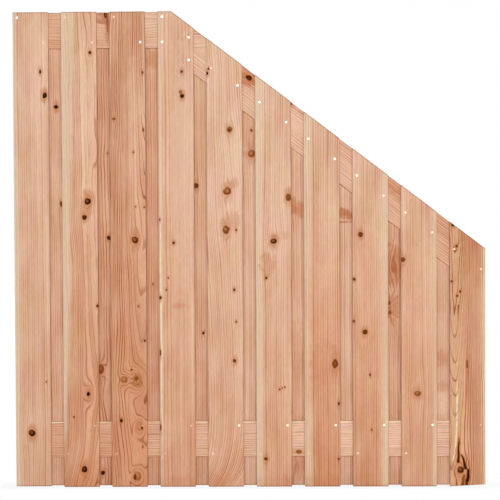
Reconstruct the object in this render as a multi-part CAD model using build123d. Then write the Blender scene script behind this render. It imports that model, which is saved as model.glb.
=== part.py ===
from build123d import *
import os
from math import atan2, cos, sin

# Sloped-top wooden fence panel: boards screwed to the front and to the back of three flat rails.
# The back boards cover the gaps of the front ones, so the panel looks the same from both sides.
# Millimetres. X runs along the panel to its low side, Y from the front to the back, Z is up.
# The origin is on the ground, in the middle of the panel's length and thickness.

# Boards
FRONT_BOARD_COUNT = 10
BOARD_WIDTH = 134.0
BOARD_THICKNESS = 16.0
BOARD_GAP = 49.0
EDGE_RADIUS = 2.0

# Outline
HIGH_SIDE = 1800.0
LOW_SIDE = 900.0
LEVEL_TOP = 600.0
FIRST_FOOT_LIFT = 3.0
LAST_FOOT_RISE = 7.0

# Rails
RAIL_WIDTH = 135.0
RAIL_THICKNESS = 16.0
BOTTOM_RAIL_HEIGHT = 112.0

# Countersunk screws, faceted because there are many of them
SCREW_SIDES = 6
SCREW_LENGTH = 30.0
SCREW_HEAD_DIAMETER = 8.0
SCREW_SHANK_DIAMETER = 4.0
SCREW_CLEARANCE = 0.15
SCREW_SIDE_INSET = 17.0
SCREW_STAGGER = 12.0
TOP_RAIL_INSET = 20.0
BOTTOM_RAIL_INSET = 14.0

# Places that follow from the sizes above
PITCH = BOARD_WIDTH + BOARD_GAP
LENGTH = FRONT_BOARD_COUNT * PITCH - BOARD_GAP
LEFT_END = -LENGTH / 2
RIGHT_END = LENGTH / 2
KNEE_X = LEFT_END + LEVEL_TOP
RAIL_FACE = RAIL_THICKNESS / 2
BOARD_FACE = RAIL_FACE + BOARD_THICKNESS
SLOPE_ANGLE = atan2(HIGH_SIDE - LOW_SIDE, RIGHT_END - KNEE_X)
SLOPE_FALL = (HIGH_SIDE - LOW_SIDE) / (RIGHT_END - KNEE_X)
SLOPE_DROP = RAIL_WIDTH / cos(SLOPE_ANGLE)
TOP_RAIL_HEIGHT = HIGH_SIDE - RAIL_WIDTH
BOTTOM_RAIL_TOP = BOTTOM_RAIL_HEIGHT + RAIL_WIDTH

# The plane of the sloping saw cut: X down the slope, Z out of the panel's top.
SLOPE = Plane(
    origin=(KNEE_X, 0, HIGH_SIDE),
    x_dir=(cos(SLOPE_ANGLE), 0, -sin(SLOPE_ANGLE)),
    z_dir=(sin(SLOPE_ANGLE), 0, cos(SLOPE_ANGLE)),
)

FRONT = -1
BACK = 1


def slope_height(x):
    """Height of the sloping cut, also where it runs on above the level top."""
    return HIGH_SIDE - (x - KNEE_X) * SLOPE_FALL


def plank(plane, width, thickness, length):
    """Planed stock with eased long edges, its section in the plane's X and Y."""
    return extrude(plane * RectangleRounded(width, thickness, EDGE_RADIUS), length)


def board(left, side, foot=0.0):
    """Upright board from its foot to the panel's top, cut along the slope where that is lower."""
    middle = side * (RAIL_FACE + BOARD_THICKNESS / 2)
    base = Plane(origin=(left + BOARD_WIDTH / 2, middle, foot))
    stock = plank(base, BOARD_WIDTH, BOARD_THICKNESS, HIGH_SIDE - foot)
    return split(stock, bisect_by=SLOPE, keep=Keep.BOTTOM)


def wear_last_foot(piece, left):
    """The last board's worn foot rises towards its outer edge."""
    angle = atan2(LAST_FOOT_RISE, BOARD_WIDTH)
    cut = Plane(origin=(left, 0, 0), x_dir=(cos(angle), 0, sin(angle)), z_dir=(-sin(angle), 0, cos(angle)))
    return split(piece, bisect_by=cut, keep=Keep.TOP)


def level_rail(height):
    """Rail along the whole panel, with its lower edge at the given height."""
    end = Plane(origin=(LEFT_END, 0, height + RAIL_WIDTH / 2), x_dir=(0, 0, 1), z_dir=(1, 0, 0))
    return plank(end, RAIL_WIDTH, RAIL_THICKNESS, LENGTH)


def make_sloping_rail():
    """Rail under the sloping cut, butted against the top rail's lower edge."""
    spare = 2 * RAIL_WIDTH
    start = SLOPE.origin - SLOPE.x_dir * spare - SLOPE.z_dir * (RAIL_WIDTH / 2)
    end = Plane(origin=start, x_dir=SLOPE.z_dir, z_dir=SLOPE.x_dir)
    stock = plank(end, RAIL_WIDTH, RAIL_THICKNESS, (RIGHT_END - KNEE_X) / cos(SLOPE_ANGLE) + 2 * spare)
    room = Box(LENGTH, 2 * RAIL_THICKNESS, TOP_RAIL_HEIGHT, align=(Align.CENTER, Align.CENTER, Align.MIN))
    return stock & room


def screw_body(clearance):
    """Countersunk wood screw along -Z with its head's face at the origin, or the hole that takes it."""
    neck = (SCREW_HEAD_DIAMETER - SCREW_SHANK_DIAMETER) / 2
    head = RegularPolygon(SCREW_HEAD_DIAMETER / 2 + clearance, SCREW_SIDES)
    shank = Pos(0, 0, -neck) * RegularPolygon(SCREW_SHANK_DIAMETER / 2 + clearance, SCREW_SIDES)
    point = Vertex(0, 0, -SCREW_LENGTH - clearance)
    return loft([head, shank], ruled=True) + loft([shank, point], ruled=True)


def screw_spots(left, side):
    """Screw places on one board, as (x, z): a pair on each rail that it crosses."""
    spots = []
    stagger = side * SCREW_STAGGER / 2
    columns = (left + SCREW_SIDE_INSET, left + BOARD_WIDTH - SCREW_SIDE_INSET)
    spans_knee = left < KNEE_X < left + BOARD_WIDTH
    for x in columns:
        is_left = x == columns[0]
        low_corner = BOTTOM_RAIL_HEIGHT + BOTTOM_RAIL_INSET
        high_corner = BOTTOM_RAIL_TOP - BOTTOM_RAIL_INSET
        spots.append((x, low_corner if is_left else high_corner))

        cut = slope_height(x)
        if cut >= HIGH_SIDE:
            if is_left:
                spots.append((x, HIGH_SIDE - TOP_RAIL_INSET))
            if spans_knee or not is_left:
                spots.append((x, TOP_RAIL_HEIGHT + TOP_RAIL_INSET))
        elif cut - TOP_RAIL_HEIGHT > 2 * TOP_RAIL_INSET:
            spots.append((x, (cut + TOP_RAIL_HEIGHT) / 2 + stagger))

        rail_top = min(cut, TOP_RAIL_HEIGHT)
        rail_bottom = cut - SLOPE_DROP
        if rail_top - rail_bottom > 2 * TOP_RAIL_INSET:
            spots.append((x, (rail_top + rail_bottom) / 2 + stagger))
    return spots


def placed(body, spots, side):
    """Copies of a screw body at the given places, driven in from the front or the back."""
    return [Plane(origin=(x, side * BOARD_FACE, z), x_dir=(1, 0, 0), z_dir=(0, side, 0)) * body for x, z in spots]


def drilled(piece, spots, side):
    """The piece with the holes for the screws at the given places."""
    return piece - placed(screw_body(SCREW_CLEARANCE), spots, side)


front_lefts = [LEFT_END + i * PITCH for i in range(FRONT_BOARD_COUNT)]
back_offset = BOARD_WIDTH + (BOARD_GAP - BOARD_WIDTH) / 2
back_lefts = [left + back_offset for left in front_lefts[:-1]]
front_spots = [spot for left in front_lefts for spot in screw_spots(left, FRONT)]
back_spots = [spot for left in back_lefts for spot in screw_spots(left, BACK)]

parts = {}

for number, left in enumerate(front_lefts, start=1):
    foot = FIRST_FOOT_LIFT if number == 1 else 0.0
    piece = board(left, FRONT, foot)
    if number == FRONT_BOARD_COUNT:
        piece = wear_last_foot(piece, left)
    parts[f"front_board_{number}"] = drilled(piece, screw_spots(left, FRONT), FRONT)

for number, left in enumerate(back_lefts, start=1):
    parts[f"back_board_{number}"] = drilled(board(left, BACK), screw_spots(left, BACK), BACK)

rails = {
    "bottom_rail": level_rail(BOTTOM_RAIL_HEIGHT),
    "top_rail": split(level_rail(TOP_RAIL_HEIGHT), bisect_by=SLOPE, keep=Keep.BOTTOM),
    "sloping_rail": make_sloping_rail(),
}
for name, rail in rails.items():
    parts[name] = drilled(drilled(rail, front_spots, FRONT), back_spots, BACK)

screw = screw_body(0.0)
parts["front_screws"] = Compound(children=placed(screw, front_spots, FRONT))
parts["back_screws"] = Compound(children=placed(screw, back_spots, BACK))

os.makedirs("parts", exist_ok=True)
for name, piece in parts.items():
    export_step(piece, f"parts/{name}.step")
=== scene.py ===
"""Dresses the sloped fence panel: planed softwood boards and rails, bright screws, a white studio."""
import math
from itertools import starmap
from typing import NamedTuple

import bmesh
import bpy
from mathutils import Matrix, Vector


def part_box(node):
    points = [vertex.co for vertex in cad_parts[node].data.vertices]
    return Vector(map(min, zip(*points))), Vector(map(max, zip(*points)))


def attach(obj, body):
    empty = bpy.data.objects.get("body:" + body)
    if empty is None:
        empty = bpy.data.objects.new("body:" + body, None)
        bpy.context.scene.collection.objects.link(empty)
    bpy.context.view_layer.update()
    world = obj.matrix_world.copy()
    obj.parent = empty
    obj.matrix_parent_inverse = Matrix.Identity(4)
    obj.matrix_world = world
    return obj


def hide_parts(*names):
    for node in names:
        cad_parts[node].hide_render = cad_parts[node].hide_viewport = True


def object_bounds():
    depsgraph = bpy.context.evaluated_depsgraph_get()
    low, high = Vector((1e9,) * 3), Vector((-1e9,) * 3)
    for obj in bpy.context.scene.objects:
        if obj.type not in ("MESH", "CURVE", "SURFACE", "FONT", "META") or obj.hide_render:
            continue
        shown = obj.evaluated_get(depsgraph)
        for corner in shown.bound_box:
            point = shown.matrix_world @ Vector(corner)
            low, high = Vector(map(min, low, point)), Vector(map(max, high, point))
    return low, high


MM = 0.001

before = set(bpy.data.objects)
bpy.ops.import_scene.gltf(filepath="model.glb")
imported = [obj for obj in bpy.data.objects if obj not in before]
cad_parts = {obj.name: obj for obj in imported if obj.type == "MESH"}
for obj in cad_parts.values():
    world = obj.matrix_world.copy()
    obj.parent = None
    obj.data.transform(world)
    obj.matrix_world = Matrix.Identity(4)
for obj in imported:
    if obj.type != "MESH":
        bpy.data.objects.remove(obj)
cad_low, cad_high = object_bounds()

PANEL_HEIGHT = cad_high.z - cad_low.z
PANEL_TOP = cad_high.z
UP = Vector((0.0, 0.0, 1.0))
RIGHT = Vector((1.0, 0.0, 0.0))
TO_FRONT = Vector((0.0, -1.0, 0.0))
TO_BACK = Vector((0.0, 1.0, 0.0))
FIRST_SLOPED_BOARD = "front_board_5"
LAST_BOARD = "front_board_10"

# Planks: eased edges, rows of faces along the length, and how far and how often per metre they are untrue
EDGE_RADIUS = 2.0 * MM
EDGE_FACES = 4
PLANK_STEP = 30.0 * MM
PLANK_RELIEF = 0.25 * MM
PLANK_WAVES = (14.0, 14.0, 2.5)

# Screws: countersunk head, the star recess in it, and how deep the face of a CAD head is taken to be
SCREW_HEAD_RADIUS = 4.0 * MM
SCREW_NECK_RADIUS = 2.0 * MM
SCREW_RECESS_RADIUS = 1.9 * MM
SCREW_RECESS_DEPTH = 1.4 * MM
SCREW_FACE_DEPTH = 0.1 * MM
SCREW_SIDES = 24
STAR_POINTS = 6
STAR_WAIST = 0.66

# Meshes: points closer than these are one, and faces that meet at more than this angle have a crisp edge
SAME_POINT = 0.001 * MM
SCREW_SEAM = 0.01 * MM
CRISP_ANGLE = math.radians(35.0)

# Camera, from the outline's fit: 5 m in front of the boards, turned a little to the panel's high side
CAMERA_PLACE = Vector((0.081, -5.024, 1.0075))
CAMERA_YAW = math.radians(0.894)
CAMERA_PITCH = math.radians(-1.250)
CAMERA_ROLL = math.radians(0.282)
CAMERA_LENS = 95.25
CAMERA_SENSOR = 36.0
CAMERA_REACH = 100.0

# Studio: strength of the surround's light, and a floor on which the shadow fades to white, in metres
AMBIENT = 0.12
FLOOR_SIZE = 60.0
FLOOR_GREY = 0.92
SHADOW_FADE = (0.03, 0.07)
SHADOW_WHITENESS = 0.86

# Lights: name, place, width of the disc and watts
LIGHTS = [
    ("key", (-0.6, -6.5, 2.6), 2.2, 173.0),
    ("fill", (1.4, -6.5, 0.8), 2.5, 152.0),
    ("rear", (0.6, 6.0, 2.6), 3.0, 250.0),
    ("high_end", (-5.5, 0.3, 1.6), 1.6, 75.0),
    ("low_end", (5.5, 0.3, 1.6), 1.6, 75.0),
    ("above", (0.6, 0.2, 6.0), 1.6, 75.0),
]


def top_corner(node):
    """The upper corner of a sloped board, on its high side."""
    low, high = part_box(node)
    return Vector((low.x, 0.0, high.z))


# The sloping cut, through the upper corners of two boards that it crosses
SLOPE_POINT = top_corner(FIRST_SLOPED_BOARD)
SLOPE_WAY = (top_corner(LAST_BOARD) - SLOPE_POINT).normalized()
SLOPE_OUT = Vector((-SLOPE_WAY.z, 0.0, SLOPE_WAY.x))
SLOPE_CUT = (SLOPE_POINT, SLOPE_OUT)


def srgb(red, green, blue):
    """A colour as seen on screen, where 255 is full, as the linear colour that a shader takes."""
    def linear(value):
        value /= 255.0
        return value / 12.92 if value <= 0.04045 else ((value + 0.055) / 1.055) ** 2.4
    return (linear(red), linear(green), linear(blue), 1.0)


class Value:
    """What a node puts out, so that a formula of nodes can be written as plain arithmetic."""

    def __init__(self, graph, socket):
        self.graph = graph
        self.socket = socket

    def __add__(self, other):
        return self.graph.math("ADD", self, other)

    def __sub__(self, other):
        return self.graph.math("SUBTRACT", self, other)

    def __rsub__(self, other):
        return self.graph.math("SUBTRACT", other, self)

    def __mul__(self, other):
        return self.graph.math("MULTIPLY", self, other)

    def __truediv__(self, other):
        return self.graph.math("DIVIDE", self, other)


def between(value, low, high):
    """Low where the value is 0, high where it is 1."""
    return value * (high - low) + low


class Graph:
    """Short hands for filling a node tree, where each input is a value, a socket or a constant."""

    def __init__(self, tree):
        self.tree = tree

    def put(self, socket, value):
        """Links a value to a socket, or sets the socket to a constant."""
        if isinstance(value, Value):
            value = value.socket
        if isinstance(value, bpy.types.NodeSocket):
            self.tree.links.new(value, socket)
        else:
            socket.default_value = value

    def node(self, kind, inputs=None, **settings):
        made = self.tree.nodes.new(kind)
        for name, value in settings.items():
            setattr(made, name, value)
        for name, value in (inputs or {}).items():
            self.put(made.inputs[name], value)
        return made

    def value(self, kind, inputs=None, output=0, **settings):
        """What a new node puts out, by the output's name or number."""
        return Value(self, self.node(kind, inputs, **settings).outputs[output])

    def math(self, operation, *values, clamp=False):
        inputs = dict(enumerate(values))
        return self.value("ShaderNodeMath", inputs, operation=operation, use_clamp=clamp)

    def vector(self, operation, *values):
        output = "Value" if operation == "DOT_PRODUCT" else "Vector"
        return self.value("ShaderNodeVectorMath", dict(enumerate(values)), output, operation=operation)

    def scaled(self, vector, factor):
        return self.value("ShaderNodeVectorMath", {0: vector, "Scale": factor}, operation="SCALE")

    def join(self, x, y, z):
        return self.value("ShaderNodeCombineXYZ", {"X": x, "Y": y, "Z": z})

    def smooth(self, value, low, high):
        """0 at low and 1 at high, eased between, whichever of the two is the greater."""
        inputs = {"Value": value, "From Min": low, "From Max": high}
        return self.value("ShaderNodeMapRange", inputs, interpolation_type="SMOOTHSTEP")

    def blend(self, factor, first, second, mode="MIX"):
        """Two colours mixed; the node's inputs 6 and 7 and its output 2 are the ones for colours."""
        inputs = {0: factor, 6: first, 7: second}
        return self.value("ShaderNodeMix", inputs, 2, data_type="RGBA", blend_type=mode)

    def ramp(self, factor, stops):
        made = self.node("ShaderNodeValToRGB", {"Fac": factor})
        elements = made.color_ramp.elements
        while len(elements) < len(stops):
            elements.new(0.5)
        for element, (place, colour) in zip(elements, stops):
            element.position = place
            element.color = colour
        return Value(self, made.outputs["Color"])

    def noise(self, place, scale, detail=2.0, rough=0.5):
        inputs = {"Vector": place, "Scale": scale, "Detail": detail, "Roughness": rough}
        return self.value("ShaderNodeTexNoise", inputs)

    def group(self, tree, **inputs):
        """The outputs of a node group by name; an underscore stands for a space in an input's name."""
        made = self.tree.nodes.new("ShaderNodeGroup")
        made.node_tree = tree
        for name, value in inputs.items():
            self.put(made.inputs[name.replace("_", " ")], value)
        return {output.name: Value(self, output) for output in made.outputs}


def floats(*names):
    """Sockets for numbers, with these names."""
    return [(name, "Float") for name in names]


def new_tree(family, name, inputs, outputs):
    """An empty node tree with named sockets, its graph, its inputs as values and its output sockets."""
    tree = bpy.data.node_groups.new(name, family)
    for way, sockets in (("INPUT", inputs), ("OUTPUT", outputs)):
        for socket, kind in sockets:
            tree.interface.new_socket(socket, in_out=way, socket_type="NodeSocket" + kind)
    g = Graph(tree)
    given = {socket.name: Value(g, socket) for socket in g.node("NodeGroupInput").outputs}
    return tree, g, given, g.node("NodeGroupOutput").inputs


def new_group(name, inputs, outputs):
    """A shader node group, to be filled."""
    return new_tree("ShaderNodeTree", name, inputs, outputs)


def emptied(owner):
    """The graph of a material or a world, with no nodes in it yet."""
    owner.use_nodes = True
    owner.node_tree.nodes.clear()
    return Graph(owner.node_tree)


def make_plank_place():
    """Millimetres across, into and along a plank, from the object's own coordinates."""
    tree, g, given, out = new_group(
        "Plank place",
        [("Object", "Vector"), ("Centre", "Vector"), ("Across", "Vector"), ("Along", "Vector")],
        floats("Across", "Depth", "Height"),
    )
    offset = g.scaled(g.vector("SUBTRACT", given["Object"], given["Centre"]), 1 / MM)
    inward = g.vector("CROSS_PRODUCT", given["Along"], given["Across"])
    g.put(out["Across"], g.vector("DOT_PRODUCT", offset, given["Across"]))
    g.put(out["Depth"], g.vector("DOT_PRODUCT", offset, inward))
    g.put(out["Height"], g.vector("DOT_PRODUCT", offset, given["Along"]))
    return tree


# Knots: how they pull the grain and swell its rings, the radii in millimetres from which they are paler
# or ringed inside, and where their heart, edge and halo begin and end as shares of the radius
GRAIN_PULL = 1.4
GRAIN_STRETCH = 0.42
SWELL_FADE = 0.35
PALER_INSIDE = (6.0, 14.0)
RINGED_INSIDE = (13.0, 17.0)
HEART_TONE = 0.5
# How far a large knot's pale heart is pushed off centre, as a painted glint
HEART_GLINT_SHIFT = 0.3
HEART_EDGE = (0.2, 0.75)
HEART_RINGS = 19.0
HEART_RING_TONE = 0.35
RINGED_RIM_TONE = 0.6
KNOT_EDGE = (1.35, 0.85)
LARGE_KNOT_ROUGHNESS = 0.75
HALO_STRETCH = 0.55
HALO_EDGE = (2.6, 0.7)


def make_knot():
    """One knot: it bends the grain around itself, swells its rings, and darkens the wood in it and near."""
    tree, g, given, out = new_group(
        "Knot",
        floats("Across", "Height", "Bend", "Swell", "Dark", "Halo", "Rough",
               "At", "Up", "Radius", "Tall", "Tone", "Curl"),
        floats("Bend", "Swell", "Dark", "Halo"),
    )
    radius, rough, tone = given["Radius"], given["Rough"], given["Tone"]
    side = given["Across"] - given["At"]
    rise = given["Height"] - given["Up"]
    slack = rise * GRAIN_STRETCH
    reach = radius * GRAIN_PULL
    reach = reach * reach
    pull = reach / (side * side + slack * slack + reach)
    g.put(out["Bend"], given["Bend"] - side * pull)

    shift = side / radius
    high = rise / (radius * given["Tall"])
    wide = shift * shift
    far = wide + high * high
    spread = g.math("EXPONENT", far * -SWELL_FADE)
    g.put(out["Swell"], given["Swell"] + radius * given["Curl"] * spread)

    # A small knot is dark right through; a larger one is paler inside, and its pale heart is pushed off
    # centre in the dark rim as a painted glint.
    large = g.smooth(radius, *PALER_INSIDE)
    ring = g.math("SQRT", far) + rough * between(large, 1.0, LARGE_KNOT_ROUGHNESS)
    heart = between(large, 1.0, HEART_TONE)
    lopsided = ring + (shift - high) * HEART_GLINT_SHIFT
    rim = (1.0 - heart) * g.smooth(lopsided, *HEART_EDGE)
    rings = g.math("COSINE", ring * HEART_RINGS) * HEART_RING_TONE - rim * RINGED_RIM_TONE
    rim = rim + rings * g.smooth(radius, *RINGED_INSIDE)
    shade = (heart + rim) * g.smooth(ring, *KNOT_EDGE)
    g.put(out["Dark"], g.math("MAXIMUM", given["Dark"], shade * tone))

    high = high * HALO_STRETCH
    glow = g.math("SQRT", wide + high * high) + rough
    g.put(out["Halo"], g.math("MAXIMUM", given["Halo"], g.smooth(glow, *HALO_EDGE) * tone))
    return tree


# Strokes: soft edge and warm fringe in millimetres, share that is fully dark, and how they taper off
STROKE_EDGE = 2.5
STROKE_FRINGE = 8.0
STROKE_CORE = 0.3
STROKE_TAPER = 0.3


def make_stroke():
    """A dark split or bark pocket: a bowed line along the grain with a thickness at either end."""
    tree, g, given, out = new_group(
        "Stroke",
        floats("Across", "Height", "Dark", "Halo", "Low", "High", "Start", "End", "Bow",
               "Thick low", "Thick high", "Tone"),
        floats("Dark", "Halo"),
    )
    way = (given["Height"] - given["Low"]) / (given["High"] - given["Low"])
    arch = way * (1.0 - way) * 4.0  # 1 midway, 0 at either end
    middle = between(way, given["Start"], given["End"]) + given["Bow"] * arch
    half = between(way, given["Thick low"], given["Thick high"]) * 0.5
    off = g.math("ABSOLUTE", given["Across"] - middle)
    strength = g.smooth(half, 0.0, STROKE_EDGE) * g.smooth(arch, 0.0, STROKE_TAPER) * given["Tone"]
    mask = g.smooth(off, half + STROKE_EDGE, half * STROKE_CORE)
    g.put(out["Dark"], g.math("MAXIMUM", given["Dark"], mask * strength))
    fringe = g.smooth(off, half + STROKE_FRINGE, half)
    g.put(out["Halo"], g.math("MAXIMUM", given["Halo"], fringe * strength))
    return tree


# Sapwood: how its edge wanders, as a noise scale per millimetre, and how softly it ends, in millimetres
SAP_WANDER = 0.011
SAP_EDGE = (-8.0, 10.0)


def make_sapwood():
    """The pale outer wood on one side of a line that wanders along the plank."""
    tree, g, given, out = new_group(
        "Sapwood",
        floats("Across", "Height", "Sap", "Foot", "Top", "Long", "Side", "Wander", "Amount", "Seed"),
        floats("Sap"),
    )
    way = given["Height"] / given["Long"]
    sway = g.noise(g.join(given["Seed"], 0.0, given["Height"]), SAP_WANDER) - 0.5
    edge = between(way, given["Foot"], given["Top"]) + sway * given["Wander"]
    over = (given["Across"] - edge) * given["Side"]
    g.put(out["Sap"], g.math("MAXIMUM", given["Sap"], g.smooth(over, *SAP_EDGE) * given["Amount"]))
    return tree


# Patches: how ragged they are, and where they begin and end as squared shares of their size
PATCH_FRAY = 2.2
PATCH_EDGE = (1.4, 0.1)


def make_patch():
    """A soft oval with a ragged edge, for a stained or pale stretch."""
    tree, g, given, out = new_group(
        "Patch",
        floats("Across", "Height", "Rough", "At", "Up", "Wide", "Tall", "Amount"),
        floats("Mask"),
    )
    wide = (given["Across"] - given["At"]) / given["Wide"]
    high = (given["Height"] - given["Up"]) / given["Tall"]
    off = wide * wide + high * high + given["Rough"] * PATCH_FRAY
    g.put(out["Mask"], g.smooth(off, *PATCH_EDGE) * given["Amount"])
    return tree


# Growth: scales of the noise per millimetre, the share of height in it, as patterns run lengthwise, and
# the range that counts as 0 to 1. Fibres take a share of the sway's height, and the warm tint's pattern
# lies this far aside, so that it doesn't match the clouds.
SWAY_SCALE, SWAY_HEIGHT = 0.018, 0.16
FIBRE_SCALE, FIBRE_SHARE = 0.3, 0.9
BAND_SCALE, BAND_HEIGHT, BAND_RANGE = 0.11, 0.01, (0.2, 0.8)
CLOUD_SCALE, CLOUD_HEIGHT, CLOUD_RANGE = 0.012, 0.35, (0.25, 0.75)
WARM_SCALE, WARM_ASIDE, WARM_RANGE = 0.02, 500.0, (0.3, 0.7)

# Years: how their width varies, and shares of a year before its end at which the latewood begins and ends.
# Rings that are cut flat look broad, so their lines are thinned, but to no less than this share.
YEAR_SCALE, YEAR_SPREAD = 0.035, 18.0
LATE_BEGINS = (0.6, 0.2)
LATE_ENDS = (0.1, 0.0)
LATE_STRENGTH = (0.3, 1.0)
THINNEST_LINE = 0.4


def make_growth():
    """Growth rings cut by the plank: dark latewood lines, and broader bands of slow and quick years."""
    tree, g, given, out = new_group(
        "Growth rings",
        floats("Across", "Depth", "Height", "Swell", "Pith across", "Pith depth", "Lean", "Dive",
               "Ring", "Wander", "Seed"),
        floats("Line", "Year", "Band", "Fibre", "Cloud", "Warm"),
    )
    across, depth, height, seed = given["Across"], given["Depth"], given["Height"], given["Seed"]
    metres = height * MM
    wide = across - (given["Pith across"] + given["Lean"] * metres)
    deep = depth - (given["Pith depth"] + given["Dive"] * metres)
    slow = height * SWAY_HEIGHT + seed
    sway = g.noise(g.join(across, depth, slow), SWAY_SCALE) - 0.5
    radius = g.math("SQRT", wide * wide + deep * deep) + sway * given["Wander"] + given["Swell"]

    # Years of different width, each with its own strength of latewood
    uneven = (g.noise(g.join(radius, seed, 0.0), YEAR_SCALE, detail=1.0) - 0.5) * YEAR_SPREAD
    count = (radius + uneven) / given["Ring"]
    year = g.math("FLOOR", count) + seed
    chance = g.value("ShaderNodeTexWhiteNoise", {"W": year}, "Value", noise_dimensions="1D")
    slant = g.math("MAXIMUM", g.math("ABSOLUTE", wide / radius), THINNEST_LINE)
    late = (1.0 - g.math("FRACT", count)) / slant
    line = g.smooth(late, *LATE_BEGINS) - g.smooth(late, *LATE_ENDS)
    g.put(out["Year"], chance)
    g.put(out["Line"], line * between(chance, *LATE_STRENGTH))

    band = g.noise(g.join(radius, height * BAND_HEIGHT, seed), BAND_SCALE, detail=3.0, rough=0.6)
    g.put(out["Band"], g.smooth(band, *BAND_RANGE))
    fibre = g.noise(g.join(across, depth, slow * FIBRE_SHARE), FIBRE_SCALE, detail=3.0, rough=0.7)
    g.put(out["Fibre"], fibre)
    drift = height * CLOUD_HEIGHT + seed
    cloud = g.noise(g.join(across, depth, drift), CLOUD_SCALE, detail=3.0)
    g.put(out["Cloud"], g.smooth(cloud, *CLOUD_RANGE))
    warm = g.noise(g.join(across + WARM_ASIDE, depth, drift), WARM_SCALE)
    g.put(out["Warm"], g.smooth(warm, *WARM_RANGE))
    return tree


# Height of the grey line along the sawn top, and of the painted shade along the end that a plank starts
# from, a board's foot
SAWN_TOP = 5.0 * MM
PAINTED_FOOT_SHADE_HEIGHT = 6.0 * MM


def make_sawn():
    """The grey line along the panel's sawn top, level and sloping."""
    tree, g, given, out = new_group("Sawn top", [("Object", "Vector")], floats("Mask"))
    level = PANEL_TOP - g.value("ShaderNodeSeparateXYZ", {"Vector": given["Object"]}, "Z")
    slope = g.vector("DOT_PRODUCT", g.vector("SUBTRACT", SLOPE_POINT, given["Object"]), SLOPE_OUT)
    g.put(out["Mask"], g.smooth(g.math("MINIMUM", level, slope), SAWN_TOP, 0.0))
    return tree


PLANK_PLACE = make_plank_place()
SAWN = make_sawn()
KNOT = make_knot()
STROKE = make_stroke()
SAPWOOD = make_sapwood()
PATCH = make_patch()
GROWTH = make_growth()

# Colours of the wood as seen under even light
PINK_LIGHT = srgb(232, 197, 172)
PINK_DARK = srgb(219, 178, 150)
HONEY_LIGHT = srgb(220, 162, 125)
HONEY_DARK = srgb(198, 136, 100)
SAP_LIGHT = srgb(229, 204, 178)
SAP_DARK = srgb(217, 187, 158)
RUST = srgb(198, 125, 82)
OLIVE = srgb(212, 176, 136)
# Pale streaks in the wood, also used for a painted highlight along the bottom rail's upper edge
STREAK_AND_EDGE_HIGHLIGHT = srgb(246, 228, 196)
PLAIN = srgb(220, 181, 156)
PALE = srgb(233, 198, 176)
CREAM = srgb(230, 204, 172)
AMBER = srgb(192, 122, 78)
END_GRAIN = srgb(196, 160, 130)
KNOT_STOPS = [
    (0.15, srgb(190, 122, 72)),
    (0.4, srgb(162, 96, 46)),
    (0.65, srgb(126, 68, 28)),
    (0.85, srgb(88, 42, 12)),
    (1.0, srgb(42, 16, 4)),
]

# Colours that the wood is multiplied by: two faint tints, latewood, and the grey of sawn tops, which also
# paints shade along each plank's foot
ROSY = srgb(257, 253, 257)
TAN = srgb(255, 257, 249)
LATEWOOD = srgb(190, 156, 130)
SAWN_GREY_AND_FOOT_SHADE = srgb(190, 180, 170)

# Steel: colours from one scuff to the next, without and with a painted glint, and how fine and rough the
# scuffs are
STEEL_WITHOUT_GLINT = (srgb(186, 142, 114), srgb(200, 156, 126))
STEEL_WITH_PAINTED_GLINT = (srgb(224, 212, 194), srgb(244, 234, 218))
SCUFF_SCALE = 900.0
STEEL_ROUGHNESS = (0.4, 0.6)
STEEL_METALLIC = 0.85


class Knot(NamedTuple):
    """A knot: its middle, radius, height over width, darkness, and how much it swells the rings.

    One without darkness only bends the grain.
    """
    at: float
    up: float
    radius: float
    tall: float
    tone: float
    curl: float = 0.4


class Stroke(NamedTuple):
    """A split or bark pocket: heights and places across of its ends, bow, thicknesses and darkness."""
    low: float
    high: float
    start: float
    end: float
    bow: float
    thick_low: float
    thick_high: float
    tone: float


class Sap(NamedTuple):
    """Sapwood left (-1) or right (1) of an edge, given at the foot and at the panel's height."""
    side: int
    foot: float
    top: float
    wander: float
    amount: float


class Stain(NamedTuple):
    """A stained or pale oval: its middle, half width, half height, strength and colour."""
    at: float
    up: float
    wide: float
    tall: float
    amount: float
    colour: tuple


class Look(NamedTuple):
    """How one plank's wood looks; places and sizes in millimetres across and along the plank.

    Honey is the share of that colour at the foot and at the panel's height. The pith's place is across and
    into the plank, and it leans and dives by millimetres to the metre. Ring is the width of a year, wander
    how far rings stray, lines how strong the latewood is, and flare how far grain is bent at the foot.
    Sapwood, knots, strokes and stains are rows of the values named above.
    """
    seed: int
    honey: tuple
    pith: tuple
    lean: float = 0.0
    dive: float = 0.0
    ring: float = 8.0
    wander: float = 10.0
    lines: float = 0.75
    flare: float = 0.0
    sap: tuple = ()
    knots: tuple = ()
    strokes: tuple = ()
    stains: tuple = ()


# Height over which grain that flares at a board's foot straightens out, in millimetres
FLARE_REACH = 110.0

# Ragged edges of knots and stains, and of strokes: scale of the noise, share of height in it, and size
LUMP_SCALE, LUMP_HEIGHT, LUMP_SIZE = 0.07, 0.7, 1.2
FRAY_SCALE, FRAY_HEIGHT, FRAY_SIZE = 0.09, 0.5, 6.0

# How strongly the patterns show in the wood, and how far apart the planks' seeds are in the noise
SEED_STEP = 37.0
CLOUD_TINT = 0.5
LINE_TONE = (0.42, 1.18)
LINES_IN_SAP = 0.5
LINES_IN_PALE = 0.3
STAIN_TONE = (0.6, 1.0)
HALO_TONE = 0.75
FIBRE_TONE = (0.81, 1.13)
YEAR_TONE = 0.06
KNOT_FADE = (0.05, 0.45)
END_FACE = (0.55, 0.75)
END_TONE = 0.75
GRAIN_DEPTH = 0.4 * MM
GRAIN_STRENGTH = 0.35
WOOD_ROUGHNESS = (0.58, 0.7)
WOOD_GLOSS = 0.04


def by_socket(row):
    """The values of a row by the names of the group's sockets that take them."""
    return {name.capitalize(): value for name, value in row._asdict().items()}


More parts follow.
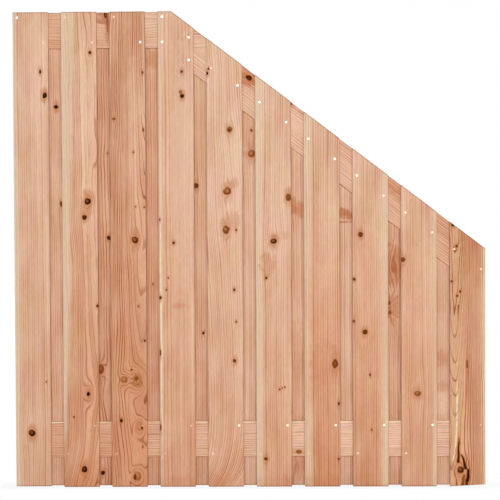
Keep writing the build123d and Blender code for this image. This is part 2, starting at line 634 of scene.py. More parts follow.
def add_knots(g, look, place, rough):
    """A plank's knots: how they bend the grain and swell its rings, and how dark and warm they make it."""
    bend, swell, dark, halo = 0.0, 0.0, 0.0, 0.0
    for knot in starmap(Knot, look.knots):
        made = g.group(
            KNOT, Across=place["Across"], Height=place["Height"], Rough=rough,
            Bend=bend, Swell=swell, Dark=dark, Halo=halo, **by_socket(knot))
        bend, swell, dark, halo = made["Bend"], made["Swell"], made["Dark"], made["Halo"]
    return bend, swell, dark, halo


def add_strokes(g, look, place, dark, halo):
    """A plank's splits and bark pockets, added to what its knots darken and warm."""
    across, height = place["Across"], place["Height"]
    fray = g.noise(g.join(across, place["Depth"], height * FRAY_HEIGHT), FRAY_SCALE)
    ragged = across + (fray - 0.5) * FRAY_SIZE
    for stroke in starmap(Stroke, look.strokes):
        made = g.group(STROKE, Across=ragged, Height=height, Dark=dark, Halo=halo, **by_socket(stroke))
        dark, halo = made["Dark"], made["Halo"]
    return dark, halo


def add_sapwood(g, look, bent, height, seed):
    """How far each place of a plank is sapwood."""
    sap = 0.0
    for number, part in enumerate(starmap(Sap, look.sap)):
        sap = g.group(
            SAPWOOD, Across=bent, Height=height, Sap=sap, Long=PANEL_HEIGHT / MM,
            Seed=seed + number, **by_socket(part))["Sap"]
    return sap


def clear_wood(g, look, growth, bent, height, sap, rough):
    """The colour of the wood between its knots: pink to honey, sapwood, stains and latewood lines."""
    band, cloud = growth["Band"], growth["Cloud"]
    foot, top = look.honey
    tint = height * ((top - foot) * MM / PANEL_HEIGHT) + foot
    tint = g.math("ADD", tint, (cloud - 0.5) * CLOUD_TINT, clamp=True)
    wood = g.blend(tint, g.blend(band, PINK_LIGHT, PINK_DARK), g.blend(band, HONEY_LIGHT, HONEY_DARK))
    wood = g.blend(sap, wood, g.blend(band, SAP_LIGHT, SAP_DARK))

    # Latewood is fainter in sapwood and in pale or plain stretches.
    ink = growth["Line"] * between(cloud, *LINE_TONE) * between(sap, look.lines, look.lines * LINES_IN_SAP)
    for stain in starmap(Stain, look.stains):
        mask = g.group(
            PATCH, Across=bent, Height=height, Rough=rough, At=stain.at, Up=stain.up,
            Wide=stain.wide, Tall=stain.tall, Amount=stain.amount)["Mask"]
        wood = g.blend(mask * between(cloud, *STAIN_TONE), wood, stain.colour)
        if stain.colour in (PALE, PLAIN):
            ink = ink * between(mask, 1.0, LINES_IN_PALE)
    wood = g.blend(ink, wood, g.blend(1.0, wood, LATEWOOD, "MULTIPLY"))
    return g.blend(1.0, wood, g.blend(growth["Warm"], ROSY, TAN), "MULTIPLY")


def wood_material(name, look, centre, across, along):
    """The wood of one plank, from its look and its place in the panel."""
    material = bpy.data.materials.new(name)
    g = emptied(material)
    seed = look.seed * SEED_STEP
    seen = g.node("ShaderNodeTexCoord").outputs
    place = g.group(PLANK_PLACE, Object=seen["Object"], Centre=centre, Across=across, Along=along)
    depth, height = place["Depth"], place["Height"]
    lumps = g.noise(g.join(place["Across"], depth, height * LUMP_HEIGHT), LUMP_SCALE)
    rough = (lumps - 0.5) * LUMP_SIZE

    bend, swell, dark, halo = add_knots(g, look, place, rough)
    dark, halo = add_strokes(g, look, place, dark, halo)
    bent = place["Across"] + bend
    if look.flare:
        bent = bent + g.math("EXPONENT", height / -FLARE_REACH) * look.flare
    sap = add_sapwood(g, look, bent, height, seed)
    growth = g.group(
        GROWTH, Across=bent, Depth=depth, Height=height, Swell=swell, Seed=seed, Pith_across=look.pith[0],
        Pith_depth=look.pith[1], Lean=look.lean, Dive=look.dive, Ring=look.ring, Wander=look.wander)

    wood = clear_wood(g, look, growth, bent, height, sap, rough)
    wood = g.blend(halo * HALO_TONE, wood, AMBER)
    fibre = between(growth["Fibre"], *FIBRE_TONE) + growth["Year"] * YEAR_TONE
    wood = g.blend(1.0, wood, g.join(fibre, fibre, fibre), "MULTIPLY")
    wood = g.blend(g.smooth(dark, *KNOT_FADE), wood, g.ramp(dark, KNOT_STOPS))

    # Grey along the sawn top, and painted shade along the plank's foot, where a board meets the floor
    top = g.group(SAWN, Object=seen["Object"])["Mask"]
    sawn_line_and_foot_shade = g.math("MAXIMUM", g.smooth(height, PAINTED_FOOT_SHADE_HEIGHT / MM, 0.0), top)
    wood = g.blend(sawn_line_and_foot_shade, wood, g.blend(1.0, wood, SAWN_GREY_AND_FOOT_SHADE, "MULTIPLY"))
    end = g.math("ABSOLUTE", g.vector("DOT_PRODUCT", seen["Normal"], along))
    wood = g.blend(g.smooth(end, *END_FACE) * END_TONE, wood, END_GRAIN)

    relief = (growth["Line"] + growth["Fibre"]) * 0.5 - dark
    bump = g.node("ShaderNodeBump", {"Height": relief, "Strength": GRAIN_STRENGTH, "Distance": GRAIN_DEPTH})
    surface = g.node("ShaderNodeBsdfPrincipled", {
        "Base Color": wood, "Roughness": between(growth["Band"], *WOOD_ROUGHNESS),
        "Specular IOR Level": WOOD_GLOSS, "Normal": bump.outputs[0]})
    g.node("ShaderNodeOutputMaterial", {"Surface": surface.outputs[0]})
    return material


def steel_material():
    """Stainless steel with fine scuffs, and a painted glint that is stronger or weaker head by head."""
    material = bpy.data.materials.new("screw_steel")
    g = emptied(material)
    scuff = g.noise(g.node("ShaderNodeTexCoord").outputs["Object"], SCUFF_SCALE, detail=3.0)
    glint = g.value("ShaderNodeAttribute", output="Fac", attribute_name="Glint")
    colour = g.blend(glint, g.blend(scuff, *STEEL_WITHOUT_GLINT), g.blend(scuff, *STEEL_WITH_PAINTED_GLINT))
    surface = g.node("ShaderNodeBsdfPrincipled", {
        "Base Color": colour, "Roughness": between(scuff, *STEEL_ROUGHNESS), "Metallic": STEEL_METALLIC})
    g.node("ShaderNodeOutputMaterial", {"Surface": surface.outputs[0]})
    return material


def new_shape(name, inputs):
    """A Geometry Nodes tree, to be filled."""
    return new_tree("GeometryNodeTree", name, inputs, [("Geometry", "Geometry")])


def close_shape(g, out, geometry, material):
    """Ends a Geometry Nodes tree: instances made real, and the material set."""
    real = g.value("GeometryNodeRealizeInstances", {"Geometry": geometry})
    g.put(out["Geometry"], g.value("GeometryNodeSetMaterial", {"Geometry": real, "Material": material}))


def make_plank_tree():
    """Planed stock standing on the origin: a rounded section drawn up its length, hardly out of true."""
    tree, g, given, out = new_shape("Planed plank", [
        *floats("Width", "Thickness", "Length", "Edge radius"),
        ("Rows", "Int"), *floats("Relief", "Seed"), ("Material", "Material")])
    section = g.value("GeometryNodeCurvePrimitiveQuadrilateral", {
        "Width": given["Width"], "Height": given["Thickness"]})
    eased = g.value("GeometryNodeFilletCurve", {
        "Curve": section, "Count": EDGE_FACES, "Radius": given["Edge radius"]}, mode="POLY")
    fine = g.value("GeometryNodeSubdivideCurve", {"Curve": eased, "Cuts": 1})
    spine = g.value("GeometryNodeCurvePrimitiveLine", {"End": g.join(0.0, 0.0, given["Length"])})
    spine = g.value("GeometryNodeResampleCurve", {"Curve": spine, "Count": given["Rows"]})
    body = g.value("GeometryNodeCurveToMesh", {
        "Curve": spine, "Profile Curve": fine, "Fill Caps": True})

    # Waves that only sink the sides, so that the plank stays within its size
    place = g.vector("MULTIPLY", g.value("GeometryNodeInputPosition"), PLANK_WAVES)
    wave = g.value("ShaderNodeTexNoise", {
        "Vector": place, "W": given["Seed"], "Scale": 1.0, "Detail": 1.0}, noise_dimensions="4D")
    sideways = g.vector("MULTIPLY", g.value("GeometryNodeInputNormal"), (1.0, 1.0, 0.0))
    shift = g.scaled(sideways, (wave - 1.0) * given["Relief"])
    moved = g.value("GeometryNodeSetPosition", {"Geometry": body, "Offset": shift})
    close_shape(g, out, moved, given["Material"])
    return tree


def make_screw_tree():
    """A countersunk screw with a star recess on every point of the carrier, each turned by chance."""
    tree, g, given, out = new_shape("Countersunk screws", [
        ("Geometry", "Geometry"),
        *floats("Head radius", "Neck radius", "Length", "Recess radius", "Recess depth"),
        ("Facing", "Rotation"), ("Seed", "Int"), ("Material", "Material")])
    head_radius, neck_radius = given["Head radius"], given["Neck radius"]

    def joined(*parts):
        both = g.node("GeometryNodeJoinGeometry")
        for part in parts:
            g.put(both.inputs[0], part)
        return both.outputs[0]

    def cone(top, bottom, depth, tip):
        """An open cone whose lower end is this far along the screw from the head's face."""
        shape = g.value("GeometryNodeMeshCone", {
            "Vertices": SCREW_SIDES, "Radius Top": top, "Radius Bottom": bottom, "Depth": depth},
            fill_type="NONE")
        return g.value("GeometryNodeTransform", {
            "Geometry": shape, "Translation": g.join(0.0, 0.0, tip * -1.0)})

    rim = g.value("GeometryNodeCurvePrimitiveCircle", {"Resolution": SCREW_SIDES, "Radius": head_radius})
    star = g.value("GeometryNodeCurveStar", {
        "Points": STAR_POINTS, "Inner Radius": given["Recess radius"] * STAR_WAIST,
        "Outer Radius": given["Recess radius"]})
    face = g.value("GeometryNodeFillCurve", {"Curve": joined(rim, star)})
    floor = g.value("GeometryNodeFillCurve", {"Curve": star}, mode="NGONS")
    well = g.value("GeometryNodeExtrudeMesh", {
        "Mesh": floor, "Offset": g.join(0.0, 0.0, 1.0), "Offset Scale": given["Recess depth"] * -1.0,
        "Individual": False})
    neck = head_radius - neck_radius
    head = cone(head_radius, neck_radius, neck, neck)
    shank = cone(neck_radius, 0.0, given["Length"] - neck, given["Length"])
    screw = g.value("GeometryNodeMergeByDistance", {
        "Geometry": joined(face, well, head, shank), "Distance": SCREW_SEAM})

    # For a plain number, the node's greatest value is its input 3 and its result its output 1.
    turn = g.value("FunctionNodeRandomValue", {"Seed": given["Seed"], 3: math.tau}, 1, data_type="FLOAT")
    spin = g.value("FunctionNodeAxisAngleToRotation", {"Axis": UP, "Angle": turn})
    placed = g.value("GeometryNodeInstanceOnPoints", {
        "Points": given["Geometry"], "Instance": screw, "Rotation": given["Facing"]})
    placed = g.value("GeometryNodeRotateInstances", {
        "Instances": placed, "Rotation": spin, "Local Space": True})
    close_shape(g, out, placed, given["Material"])
    return tree


def shown(name, data):
    """A new object in the scene."""
    made = bpy.data.objects.new(name, data)
    bpy.context.scene.collection.objects.link(made)
    return made


def grown(name, tree, values, carrier=None):
    """The plain mesh that a Geometry Nodes tree gives with the named values."""
    holder = shown(name + "_holder", carrier or bpy.data.meshes.new(name + "_carrier"))
    modifier = holder.modifiers.new("Shape", "NODES")
    modifier.node_group = tree
    for item in tree.interface.items_tree:
        if item.in_out == "INPUT" and item.name in values:
            modifier[item.identifier] = values[item.name]
    depsgraph = bpy.context.evaluated_depsgraph_get()
    mesh = bpy.data.meshes.new_from_object(holder.evaluated_get(depsgraph))
    mesh.name = name
    bpy.data.objects.remove(holder)
    return mesh


def saw(mesh, point, outward):
    """Cuts the mesh with a plane, drops what lies outward of it and closes the cut."""
    work = bmesh.new()
    work.from_mesh(mesh)
    everything = work.verts[:] + work.edges[:] + work.faces[:]
    cut = bmesh.ops.bisect_plane(
        work, geom=everything, plane_co=point, plane_no=outward, clear_outer=True, dist=SAME_POINT)
    rim = [part for part in cut["geom_cut"] if isinstance(part, bmesh.types.BMEdge)]
    if rim:
        bmesh.ops.holes_fill(work, edges=rim, sides=0)
    bmesh.ops.recalc_face_normals(work, faces=work.faces[:])
    work.to_mesh(mesh)
    work.free()


def piece(name, mesh, node):
    """Puts a finished mesh in the scene in place of a CAD node."""
    mesh.shade_smooth()
    mesh.set_sharp_from_angle(angle=CRISP_ANGLE)
    made = shown(name, mesh)
    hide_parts(node)
    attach(made, "root")


PLANK_TREE = make_plank_tree()


def plank(node, look, start, across, along, size, cuts):
    """One plank in place of a CAD node: its own wood, grown from its start along its length, then sawn."""
    name = node + "_plank"
    width, thickness, length = size
    mesh = grown(name, PLANK_TREE, {
        "Width": width, "Thickness": thickness, "Length": length, "Edge radius": EDGE_RADIUS,
        "Rows": max(2, round(length / PLANK_STEP)), "Relief": PLANK_RELIEF, "Seed": float(look.seed),
        "Material": wood_material(name + "_wood", look, start, across, along)})
    inward = along.cross(across)
    mesh.transform(Matrix((across, inward, along)).transposed().to_4x4())
    mesh.transform(Matrix.Translation(start))
    for point, outward in cuts:
        saw(mesh, point, outward)
    piece(name, mesh, node)


# Stains that several boards share: at the foot, and over the lower half of the low boards
FOOT_STAIN = (0, 8, 110, 40, 0.3, RUST)
LOW_WARMTH = (0, 600, 140, 420, 0.4, HONEY_LIGHT)

# The wood of each plank, boards in order from the high end
FRONT_LOOKS = [
    Look(1, honey=(0.36, 0.17), pith=(250, 10), wander=8, sap=[(-1, -37, -52, 10, 0.8)],
         knots=[(36, 1573, 4.5, 1.5, 0.85), (52, 1483, 8, 1.2, 1), (-6, 203, 11, 1, 1),
                (50, 398, 3, 1, 0.7)]),
    Look(2, honey=(0.86, 0.28), pith=(95, 75), lean=-15, ring=6.2, wander=24, lines=1.1, flare=45,
         sap=[(-1, -50, -14, 12, 0.9)],
         stains=[(22, 1300, 16, 380, 0.6, CREAM), (25, 1056, 13, 40, 0.6, AMBER),
                 (32, 1112, 18, 20, 0.4, RUST), FOOT_STAIN],
         knots=[(42, 1647, 5, 1, 0.8), (29, 1086, 11, 1, 1, 0.8), (17, 1025, 8, 1, 0.95),
                (27, 354, 6, 1.4, 1), (-29, 267, 3.5, 1, 0.6), (10, 67, 9.5, 1.2, 1),
                (64, 689, 4, 1.3, 0.85), (27, 354, 14, 1.8, 0, 0.9)]),
    Look(3, honey=(1, 0.5), pith=(36, 84), lean=25, dive=-45, ring=5.8, wander=18, lines=1.8,
         sap=[(1, 90, 52, 10, 0.5)],
         knots=[(57, 1571, 4.5, 1, 0.65), (-52, 1396, 6, 0.8, 0.6), (59, 1354, 3.5, 2, 0.65),
                (21, 1270, 3, 1, 0.8), (29, 1064, 3, 1, 0.7), (61, 1062, 3, 1, 0.7),
                (26, 939, 12, 1.1, 0.85, 1.2), (37, 687, 3.5, 1, 0.7), (60, 557, 3.5, 1, 0.9),
                (31, 404, 19, 1.4, 0.45, 1.3), (27, 412, 7, 1.3, 0.6, 0), (-19, 408, 12, 1.1, 0.45, 1),
                (9, 446, 3.5, 1, 0.8), (-32, 252, 6, 1, 0.95), (48, 225, 4, 1.6, 0.75, 1.5),
                (38, 228, 11, 1.4, 0.3, 1.2), (50, 152, 3, 1.8, 0.6), (20, 38, 6, 1.6, 0.75, 1.4),
                (28, 40, 13, 1.2, 0.4, 1.2)]),
    Look(4, honey=(0.55, 0.22), pith=(-150, 25), ring=12, wander=16, lines=0.5,
         sap=[(-1, -56, -48, 20, 0.75)],
         stains=[(32, 1250, 46, 480, 0.9, PLAIN), (-60, 560, 2.5, 500, 0.9, STREAK_AND_EDGE_HIGHLIGHT),
                 (12, 688, 38, 12, 0.4, RUST), FOOT_STAIN],
         knots=[(23, 1573, 5, 1, 0.8), (24, 1482, 7, 1, 1, 1), (18, 1496, 6, 1.2, 0.45, 0.8),
                (-64, 1015, 4, 1, 0.7), (-11, 927, 4.5, 1, 0.9), (-33, 794, 3, 1, 0.7),
                (-40, 749, 3.5, 1, 0.7), (-63, 719, 6, 1, 0.8), (-65, 510, 3.5, 3.2, 0.7),
                (-65, 225, 3.5, 3.2, 0.7)]),
    Look(5, honey=(0.45, -0.07), pith=(190, 25), lean=-40, ring=7.6, wander=8, flare=90,
         stains=[(26, 1150, 22, 22, 0.55, AMBER), (22, 1012, 26, 34, 0.55, AMBER),
                 (0, 8, 110, 50, 0.35, RUST)],
         knots=[(-64, 1566, 5, 1, 1), (-59, 1582, 3.5, 1, 0.9), (20, 1354, 10, 1, 0.55),
                (18, 1352, 4, 1, 0.85, 0), (10, 1120, 13, 1, 0.66, 0.8), (5, 975, 13, 1.1, 0.68, 0.8),
                (43, 974, 4, 1, 0.6), (34, 748, 4, 1, 0.9), (41, 627, 3.5, 1, 0.6),
                (34, 479, 7, 1, 0.75, 1.6)]),
    Look(6, honey=(0.58, -0.17), pith=(230, 20), wander=9, sap=[(-1, -40, -41, 8, 0.9)],
         stains=[(-17, 842, 30, 55, 0.55, RUST), (30, 950, 28, 18, 0.45, AMBER),
                 (60, 1114, 16, 28, 0.45, AMBER), FOOT_STAIN],
         knots=[(58, 1097, 9.5, 1.2, 0.7), (2, 931, 12, 0.8, 1, 0.8), (-28, 792, 4, 1, 0.8),
                (21, 370, 3.5, 1, 0.8), (31, 375, 3, 1, 0.7), (41, 378, 3, 1, 0.7), (-31, 106, 6, 1, 0.8)]),
    Look(7, honey=(0.95, -0.12), pith=(200, 15), ring=9, wander=8, lines=0.85, sap=[(-1, -36, -39, 6, 0.8)],
         stains=[LOW_WARMTH, (10, 470, 60, 90, 0.35, RUST), FOOT_STAIN],
         knots=[(48, 466, 10, 1.7, 0.75), (62, 315, 5, 1.4, 0.7), (61, 105, 4, 1, 0.7)]),
    Look(8, honey=(0.82, -0.22), pith=(-210, 20), ring=7.5, wander=9, sap=[(1, 38, 40, 8, 0.9)],
         stains=[LOW_WARMTH],
         knots=[(-37, 955, 8, 1, 0.78), (-62, 787, 5.5, 1, 0.72), (-64, 627, 5, 1, 0.7),
                (-21, 586, 8, 1, 0.85), (-2, 424, 3.5, 1.4, 0.7), (3, 215, 3.5, 1, 0.6)]),
    Look(9, honey=(0.6, -0.08), pith=(-180, 10), ring=7.4, wander=8, lines=0.7, sap=[(1, 49, 47, 6, 0.8)],
         stains=[LOW_WARMTH],
         knots=[(-60, 859, 8, 1, 0.68), (-6, 353, 13, 0.65, 0.65)]),
    Look(10, honey=(0.74, 1.06), pith=(-46, 46), dive=-44, ring=4.6, wander=18, lines=1.7,
         sap=[(1, 50, 50, 4, 1)],
         stains=[(-46, 480, 36, 620, 0.6, OLIVE), (-39, 260, 3, 190, 0.9, STREAK_AND_EDGE_HIGHLIGHT),
                 (2, 470, 10, 60, 0.7, RUST)],
         strokes=[(630, 690, -35, -33, -2, 1.5, 4, 0.8), (230, 455, 6, 0, -2, 2.5, 4.5, 0.32),
                  (84, 200, -36.5, -33, 0, 13, 1, 0.95), (170, 260, -34, -33, 0, 2.5, 1, 0.7),
                  (62, 126, -8, -26, 3, 16, 2.5, 0.95), (14, 68, -4.5, -1, 4, 18, 9, 1),
                  (-22, 30, -3, -4.5, 0, 14, 16, 0.85), (-22, 46, -21, -13, -2, 20, 8, 0.6),
                  (46, 134, 7, -11, 5, 5, 2, 0.55), (30, 108, -44, -39, -9, 4, 2, 0.45),
                  (40, 100, -50, -44, -8, 3, 2, 0.35)],
         knots=[(-55, 989, 5, 1, 0.9), (-41, 909, 5, 1, 0.8), (-60, 776, 4, 1, 0.7), (-28, 738, 4, 1, 0.8),
                (-39, 722, 4, 1, 0.7), (-2, 463, 3.5, 5, 0.6), (-26, 62, 12, 1.1, 0.9, 0.6),
                (-26, 58, 18, 1.2, 0, 0)]),
]
BACK_LOOKS = [
    Look(21, honey=(0.28, 0.14), pith=(160, 20), wander=12,
         knots=[(-1, 1446, 8, 1, 1), (19, 1077, 7, 1.4, 0.7, 1.2), (48, 620, 7, 1.1, 0.9),
                (-44, 300, 9, 1, 0.9)]),
    Look(22, honey=(0.7, 0.5), pith=(-90, 40), wander=24, lines=1.4,
         knots=[(12, 1268, 4, 1, 0.4), (14, 946, 7.5, 1, 0.9), (-19, 443, 10, 1.7, 0.6, 2.4),
                (-16, 48, 8, 1, 1), (2, 330, 12, 4, 0, 0.7), (45, 1500, 8, 1, 0.9)]),
    Look(23, honey=(0.63, 0.48), pith=(150, 30), ring=7.5, wander=12, lines=0.8,
         stains=[(0, 500, 70, 700, 0.15, RUST), (0, 1625, 40, 40, 0.6, RUST)],
         knots=[(-2, 770, 3, 1, 0.8), (-48, 1180, 9, 1.1, 0.9), (40, 260, 6, 1, 0.8)]),
    Look(24, honey=(0.44, 0.24), pith=(-170, 20), lines=0.9,
         stains=[(0, 1330, 70, 420, 0.5, OLIVE)],
         knots=[(-19, 1143, 9, 1, 0.8), (6, 582, 4.5, 1, 0.9), (46, 900, 7, 1, 0.9)]),
    Look(25, honey=(0.2, -0.1), pith=(180, 15), lines=0.9,
         stains=[(0, 1370, 70, 160, 0.4, RUST)],
         knots=[(10, 1352, 4, 1, 0.7), (10, 1263, 13, 1, 0.58), (-45, 700, 8, 1, 0.9)]),
    Look(26, honey=(0.4, 0.12), pith=(80, 40), wander=24,
         stains=[(-16, 1068, 20, 40, 0.75, RUST), (10, 1050, 24, 34, 0.75, RUST),
                 (0, 250, 70, 380, 0.25, RUST)],
         knots=[(-46, 520, 8, 1, 0.9), (40, 880, 5, 1, 0.8), (0, 60, 14, 2.5, 0, 1)]),
    Look(27, honey=(0.2, -0.1), pith=(-190, 20), ring=7.5, wander=9,
         stains=[(-12, 1036, 30, 20, 1, AMBER), (14, 1026, 30, 18, 1, AMBER), (0, 1003, 40, 5, 0.8, AMBER)],
         knots=[(47, 700, 8, 1, 0.9), (-42, 330, 6, 1, 0.8)]),
    Look(28, honey=(0.5, 0.25), pith=(-80, 40), wander=24, lines=1.2,
         stains=[(-6, 840, 44, 90, 0.8, RUST), (-8, 680, 30, 50, 0.6, RUST)],
         strokes=[(682, 724, -20, 22, -4, 10, 6, 0.24), (676, 700, -18, 28, -4, 11, 6, 0.22),
                  (636, 672, 20, -20, -4, 6, 11, 0.26), (652, 670, 28, -18, -4, 6, 11, 0.22),
                  (690, 744, -18, 4, -3, 9, 5, 0.24), (600, 660, 2, -18, -3, 5, 10, 0.26)],
         knots=[(-19, 694, 6, 1.2, 0.6, 1.5), (-17, 657, 6, 1.2, 0.55, 1.5), (-4, 832, 12, 4, 0, 1),
                (44, 420, 8, 1, 0.9)]),
    Look(29, honey=(0.26, -0.04), pith=(170, 15),
         stains=[(-6, 485, 44, 34, 0.5, RUST), (-4, 372, 40, 24, 0.45, RUST), (4, 315, 40, 40, 0.8, PALE)],
         knots=[(-44, 640, 7, 1, 0.9), (46, 180, 6, 1, 0.9)]),
]
TOP_RAIL_LOOK = Look(
    31, honey=(0.6, -0.9), pith=(160, 20), wander=12, lines=0.9, sap=[(-1, -56, -38, 10, 0.7)],
    stains=[(12, 358, 46, 12, 0.55, RUST)],
    knots=[(60, 350, 14, 0.4, 1), (30, 357, 34, 0.08, 0.8, 0)])
SLOPING_RAIL_LOOK = Look(
    32, honey=(-0.3, 0.6), pith=(-170, 30), ring=8.5, wander=18, lines=0.7,
    stains=[(58, 545, 46, 80, 0.95, RUST), (54, 1255, 34, 70, 0.8, RUST), (0, 790, 80, 70, 0.5, PALE)],
    knots=[(46, 577, 9, 1.2, 0.95), (64, 760, 6, 1.2, 0.9)])
BOTTOM_RAIL_LOOK = Look(
    33, honey=(0.65, -0.6), pith=(150, 20), ring=8.5, wander=20, lines=0.7,
    # The last stain is a painted highlight along the rail's rounded upper edge, where light from above
    # catches it
    stains=[(20, 1340, 90, 300, 0.7, PALE), (0, 341, 120, 70, 0.35, RUST), (66, 890, 5, 1400, 1, STREAK_AND_EDGE_HIGHLIGHT)],
    knots=[(-50, 1075, 8, 1.4, 0.45), (35, 420, 6, 1.2, 0.8)])


def worn_foot(node):
    """The cut of the last board's foot, which rises from its inner to its outer edge."""
    low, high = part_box(node)
    outer = [vertex.co.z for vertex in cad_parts[node].data.vertices if vertex.co.x > high.x - MM]
    way = Vector((high.x - low.x, 0.0, min(outer) - low.z)).normalized()
    return Vector((low.x, 0.0, low.z)), Vector((way.z, 0.0, -way.x))


def upright_board(node, look):
    """A front or back board, cut by the slope where that is lower than the panel's level top."""
    low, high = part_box(node)
    start = Vector(((low.x + high.x) / 2, (low.y + high.y) / 2, low.z))
    corner = Vector((high.x, 0.0, PANEL_TOP))
    cuts = [SLOPE_CUT] if (corner - SLOPE_POINT).dot(SLOPE_OUT) > 0 else []
    if node == LAST_BOARD:
        cuts.append(worn_foot(node))
    size = (high.x - low.x, high.y - low.y, PANEL_TOP - low.z)
    plank(node, look, start, RIGHT, UP, size, cuts)


def level_rail(node, look, cuts):
    """The bottom or the top rail."""
    low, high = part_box(node)
    start = Vector((low.x, (low.y + high.y) / 2, (low.z + high.z) / 2))
    size = (high.z - low.z, high.y - low.y, high.x - low.x)
    plank(node, look, start, UP, RIGHT, size, cuts)


def sloping_rail(node, look):
    """The rail under the slope, butted against the top rail and cut upright at the low end."""
    top_low, top_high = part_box("top_rail")
    low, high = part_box(node)
    width = top_high.z - top_low.z
    before = (SLOPE_POINT.x - low.x) / SLOPE_WAY.x + width
    start = SLOPE_POINT - SLOPE_OUT * (width / 2) - SLOPE_WAY * before
    length = (high.x - low.x) / SLOPE_WAY.x + 2 * width
    cuts = [(Vector((0.0, 0.0, top_low.z)), UP), (Vector((high.x, 0.0, 0.0)), RIGHT)]
    plank(node, look, start, SLOPE_OUT, SLOPE_WAY, (width, high.y - low.y, length), cuts)


for number, look in enumerate(FRONT_LOOKS, start=1):
    upright_board(f"front_board_{number}", look)
for number, look in enumerate(BACK_LOOKS, start=1):
    upright_board(f"back_board_{number}", look)
level_rail("bottom_rail", BOTTOM_RAIL_LOOK, [])
level_rail("top_rail", TOP_RAIL_LOOK, [SLOPE_CUT])
sloping_rail("sloping_rail", SLOPING_RAIL_LOOK)

SCREW_TREE = make_screw_tree()
STEEL = steel_material()

# Front heads that get less painted glint, as each head catches the light by its own tilt: from and to along
# the panel, from and to in height, all in metres, and how much glint the heads within get. The first row
# that holds a head counts, and other heads get full glint.
HEADS_WITH_LESS_GLINT = [
    (-0.90, -0.20, 0.0, 1.6, 0.1),
    (-0.85, -0.42, 1.6, 1.8, 0.1),
    (-0.16, -0.13, 0.3, 1.8, 0.1),
    (0.75, 0.90, 0.0, 1.8, 0.2),
    (-0.90, 0.75, 0.0, 0.18, 0.35),
    (0.50, 0.75, 0.3, 1.8, 0.35),
]


def head_glint(place, outward):
    """How much painted glint a screw's head gets, from 0 to 1."""
    if outward == TO_FRONT:
        for x_from, x_to, z_from, z_to, glint in HEADS_WITH_LESS_GLINT:
            if x_from < place.x < x_to and z_from < place.z < z_to:
                return glint
    return 1.0


def screw_places(node, outward):
    """Where the heads of a CAD group of screws are: the middle of each separate solid's outer face."""
    work = bmesh.new()
    work.from_mesh(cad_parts[node].data)
    bmesh.ops.remove_doubles(work, verts=work.verts, dist=SAME_POINT)
    left = set(work.verts)
    places = []
    while left:
        solid, edge = set(), [left.pop()]
        while edge:
            vertex = edge.pop()
            solid.add(vertex)
            for link in vertex.link_edges:
                other = link.other_vert(vertex)
                if other in left:
                    left.remove(other)
                    edge.append(other)
        reach = max(vertex.co.dot(outward) for vertex in solid)
        rim = [vertex.co.copy() for vertex in solid if vertex.co.dot(outward) > reach - SCREW_FACE_DEPTH]
        places.append(sum(rim, Vector()) / len(rim))
    work.free()
    return sorted(places, key=lambda place: (round(place.x, 4), round(place.z, 4)))


def screws(node, outward, seed):
    """A group of screws in place of the CAD group."""
    low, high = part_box(node)
    places = screw_places(node, outward)
    carrier = bpy.data.meshes.new(node + "_points")
    carrier.from_pydata([place[:] for place in places], [], [])
    glint = carrier.attributes.new("Glint", "FLOAT", "POINT")
    glint.data.foreach_set("value", [head_glint(place, outward) for place in places])
    mesh = grown(node + "_steel", SCREW_TREE, {
        "Head radius": SCREW_HEAD_RADIUS, "Neck radius": SCREW_NECK_RADIUS, "Length": high.y - low.y,
        "Recess radius": SCREW_RECESS_RADIUS, "Recess depth": SCREW_RECESS_DEPTH,
        "Facing": UP.rotation_difference(outward).to_euler(), "Seed": seed, "Material": STEEL}, carrier)
    piece(node + "_steel", mesh, node)


screws("front_screws", TO_FRONT, seed=5)
screws("back_screws", TO_BACK, seed=6)


def white_rays(g):
    """1 for rays that should see a white surround: straight from the camera, mirrored or through glass."""
    ways = g.node("ShaderNodeLightPath").outputs
    seen = g.math("MAXIMUM", ways["Is Camera Ray"], ways["Is Glossy Ray"])
    return g.math("MAXIMUM", seen, ways["Is Transmission Ray"])


def make_world():
    """A surround that looks white and lights the panel only dimly."""
    world = bpy.data.worlds.new("studio")
    g = emptied(world)
    strength = between(white_rays(g), AMBIENT, 1.0)
    sky = g.node("ShaderNodeBackground", {"Color": (1.0, 1.0, 1.0, 1.0), "Strength": strength})
    g.node("ShaderNodeOutputWorld", {"Surface": sky.outputs[0]})
    bpy.context.scene.world = world


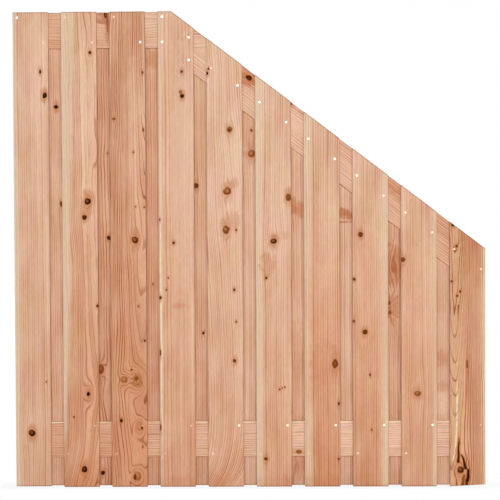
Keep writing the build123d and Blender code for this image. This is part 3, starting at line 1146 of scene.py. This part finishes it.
def floor_material():
    """Pale and matte by the panel, where its shadow falls, and plain white further out."""
    material = bpy.data.materials.new("pale_floor")
    g = emptied(material)
    near, far = SHADOW_FADE
    place = g.node("ShaderNodeTexCoord").outputs["Object"]
    parts = g.node("ShaderNodeSeparateXYZ", {"Vector": place}).outputs
    away = g.smooth(g.math("ABSOLUTE", parts["Y"]), near, far)
    ends = g.smooth(g.math("ABSOLUTE", parts["X"]), cad_high.x + near, cad_high.x + far)
    plain = g.math("MAXIMUM", g.math("MAXIMUM", away, ends), SHADOW_WHITENESS)
    matte = g.node("ShaderNodeBsdfDiffuse", {"Color": (FLOOR_GREY, FLOOR_GREY, FLOOR_GREY, 1.0)})
    white = g.node("ShaderNodeEmission", {"Color": (1.0, 1.0, 1.0, 1.0), "Strength": 1.0})
    both = g.node("ShaderNodeMixShader", {
        0: white_rays(g) * plain, 1: matte.outputs[0], 2: white.outputs[0]})
    g.node("ShaderNodeOutputMaterial", {"Surface": both.outputs[0]})
    return material


def make_floor():
    """A wide floor under the panel's feet."""
    half = FLOOR_SIZE / 2
    corners = [(-half, -half, 0), (half, -half, 0), (half, half, 0), (-half, half, 0)]
    mesh = bpy.data.meshes.new("floor")
    mesh.from_pydata(corners, [], [(0, 1, 2, 3)])
    mesh.materials.append(floor_material())
    floor = shown("floor", mesh)
    floor.location.z = cad_low.z


def soft_light(name, place, size, power):
    """A round soft box aimed at the middle of the panel."""
    lamp = bpy.data.lights.new(name, "AREA")
    lamp.shape = "DISK"
    lamp.size = size
    lamp.energy = power
    made = shown(name, lamp)
    made.location = place
    aim = (cad_low + cad_high) / 2 - Vector(place)
    made.rotation_euler = aim.to_track_quat("-Z", "Y").to_euler()


def make_camera():
    """The photo's camera."""
    lens = bpy.data.cameras.new("camera")
    lens.lens = CAMERA_LENS
    lens.sensor_width = CAMERA_SENSOR
    lens.clip_end = CAMERA_REACH
    camera = shown("camera", lens)
    turn = (Matrix.Rotation(CAMERA_YAW, 4, "Z") @ Matrix.Rotation(CAMERA_PITCH, 4, "X")
            @ Matrix.Rotation(CAMERA_ROLL, 4, "Y") @ Matrix.Rotation(math.pi / 2, 4, "X"))
    camera.matrix_world = Matrix.Translation(CAMERA_PLACE) @ turn
    bpy.context.scene.camera = camera


make_world()
make_floor()
for light in LIGHTS:
    soft_light(*light)
make_camera()
bpy.context.scene.view_settings.view_transform = "Standard"
